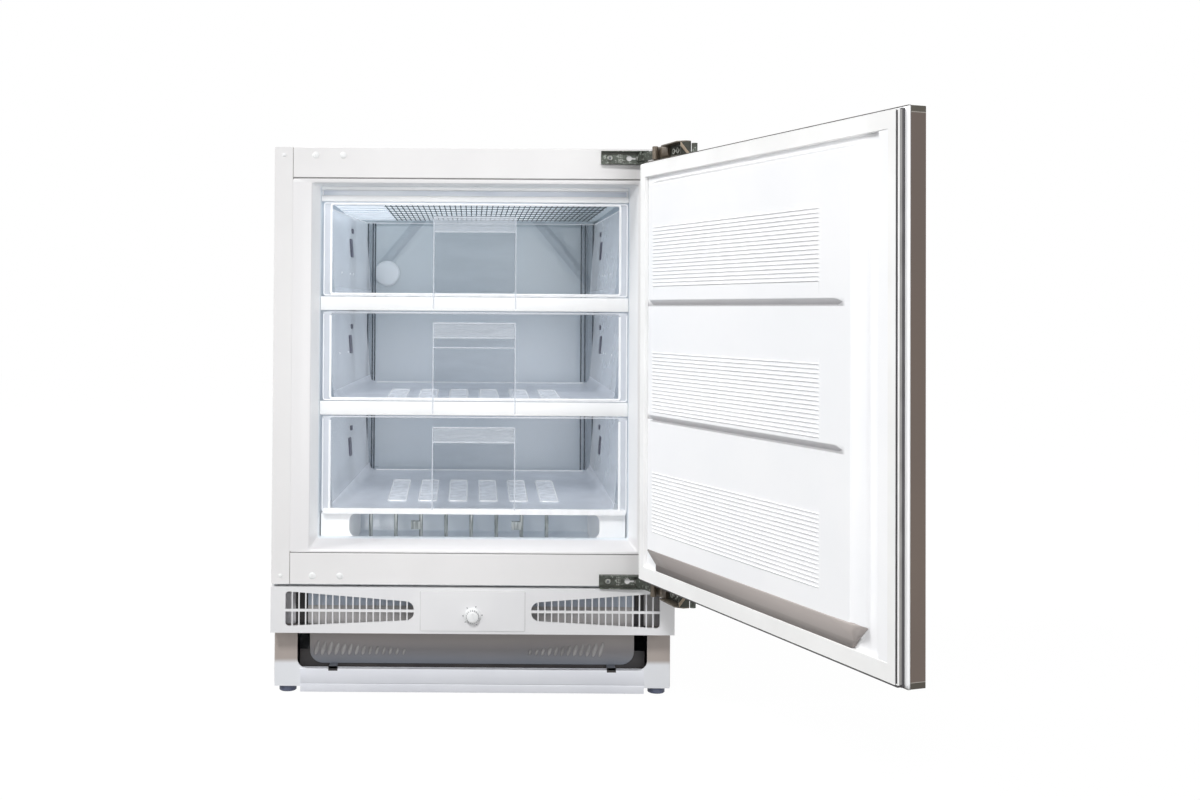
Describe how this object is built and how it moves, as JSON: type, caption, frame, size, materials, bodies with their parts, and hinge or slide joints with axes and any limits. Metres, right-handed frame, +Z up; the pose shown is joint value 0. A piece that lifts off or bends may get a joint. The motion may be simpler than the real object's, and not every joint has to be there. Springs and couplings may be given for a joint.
{
  "type": "built-in freezer",
  "caption": "Built-in under-counter freezer with a right-hung door on link hinges, clear drawers on cooling shelves, and a front grille with thermostat over the kick.",
  "frame": {"origin": "on the floor, mid width, in the plane of the cabinet's front face", "axes": "+X to the right seen from the front, +Y to the back, +Z up; at rest the door is open by 110 degrees"},
  "size_m": [0.7674, 1.1204, 0.82],
  "materials": {
    "white_paint": "satin",
    "galvanised": "satin",
    "liner_white": "gloss",
    "white_plastic": "satin",
    "foam": "matte",
    "clear_plastic": "gloss",
    "hinge_steel": "satin",
    "cooling_white": "satin",
    "wire_white": "satin",
    "tray_grey": "satin",
    "black_paint": "satin",
    "black_plastic": "matte",
    "rubber": "matte",
    "copper": "satin",
    "aluminium": "satin",
    "foot_grey": "matte",
    "door_grey": "satin",
    "cap_grey": "matte",
    "gasket_white": "matte",
    "knob_white": "satin"
  },
  "bodies": {
    "cabinet": {"left_side_panel": "white_paint", "right_side_panel": "white_paint", "top_panel": "white_paint", "rear_panel": "galvanised", "upper_rail": "white_paint", "lower_rail": "white_paint", "rail_plugs": "white_plastic", "inner_liner": "liner_white", "cabinet_foam": "foam", "bay_ceiling": "galvanised", "base_pan": "galvanised", "rear_cover": "galvanised", "cable_gland": "black_plastic", "rear_feet": "foot_grey", "sensor_cap": "white_plastic", "shelf_trims": "white_plastic", "evaporator_tubes": "cooling_white", "evaporator_wires": "wire_white", "bottom_shelf": "wire_white", "vent_grille": "white_plastic", "control_plate": "white_plastic", "thermostat_body": "black_plastic", "kick_frame": "white_paint", "kick_bar": "white_paint", "drip_tray": "tray_grey", "compressor_shell": "black_paint", "compressor_grommets": "rubber", "relay_box": "black_plastic", "condenser_fins": "aluminium", "condenser_tube": "copper", "filter_drier": "copper", "refrigerant_pipes": "copper", "fan_shroud": "black_plastic", "fan_motor": "hinge_steel", "upper_hinge_bracket": "hinge_steel", "lower_hinge_bracket": "hinge_steel", "hinge_screws": "hinge_steel", "cabinet_pins": "hinge_steel"},
    "hinge_links": {"upper_hinge_link": "hinge_steel", "lower_hinge_link": "hinge_steel"},
    "door": {"door_panel": "door_grey", "door_caps": "cap_grey", "door_foam": "foam", "door_liner": "liner_white", "door_gasket": "gasket_white", "upper_hinge_housing": "hinge_steel", "lower_hinge_housing": "hinge_steel", "door_pins": "hinge_steel", "door_studs": "hinge_steel"},
    "top_drawer": {"top_drawer_front": "clear_plastic", "top_drawer_tub": "clear_plastic"},
    "middle_drawer": {"middle_drawer_front": "clear_plastic", "middle_drawer_tub": "clear_plastic"},
    "bottom_drawer": {"bottom_drawer_front": "clear_plastic", "bottom_drawer_tub": "clear_plastic"},
    "thermostat_dial": {"thermostat_shaft": "hinge_steel", "thermostat_knob": "knob_white"},
    "condenser_fan": {"fan_rotor": "black_plastic"},
    "left_foot": {"left_foot": "foot_grey"},
    "right_foot": {"right_foot": "foot_grey"}
  },
  "joints": [
    {"name": "door_swing", "type": "hinge", "parent": "hinge_links", "child": "door", "pos_m": [0.26111, -0.0492, 0], "axis": [0, 0, 1], "range_deg": [-158.62, 7.21]},
    {"name": "link_swing", "type": "hinge", "parent": "cabinet", "child": "hinge_links", "pos_m": [0.2448, -0.008, 0], "axis": [0, 0, 1], "range_deg": [-2.41, 48.82]},
    {"name": "top_drawer_slide", "type": "slide", "parent": "cabinet", "child": "top_drawer", "axis": [0, -1, 0], "range_m": [0, 0.34]},
    {"name": "middle_drawer_slide", "type": "slide", "parent": "cabinet", "child": "middle_drawer", "axis": [0, -1, 0], "range_m": [0, 0.34]},
    {"name": "bottom_drawer_slide", "type": "slide", "parent": "cabinet", "child": "bottom_drawer", "axis": [0, -1, 0], "range_m": [0, 0.34]},
    {"name": "thermostat_turn", "type": "hinge", "parent": "cabinet", "child": "thermostat_dial", "pos_m": [0, 0, 0.1265], "axis": [0, 1, 0], "range_deg": [-135, 135]},
    {"name": "fan_spin", "type": "hinge", "parent": "cabinet", "child": "condenser_fan", "pos_m": [-0.05, 0.296, 0.08], "axis": [1, 0, 0], "continuous": true},
    {"name": "left_foot_turn", "type": "hinge", "parent": "cabinet", "child": "left_foot", "pos_m": [-0.28, 0.056, 0], "axis": [0, 0, 1], "continuous": true},
    {"name": "right_foot_turn", "type": "hinge", "parent": "cabinet", "child": "right_foot", "pos_m": [0.28, 0.056, 0], "axis": [0, 0, 1], "continuous": true}
  ],
  "couplings": [
    {"joint": "link_swing", "follows": "door_swing", "ratio": -0.30652}
  ]
}
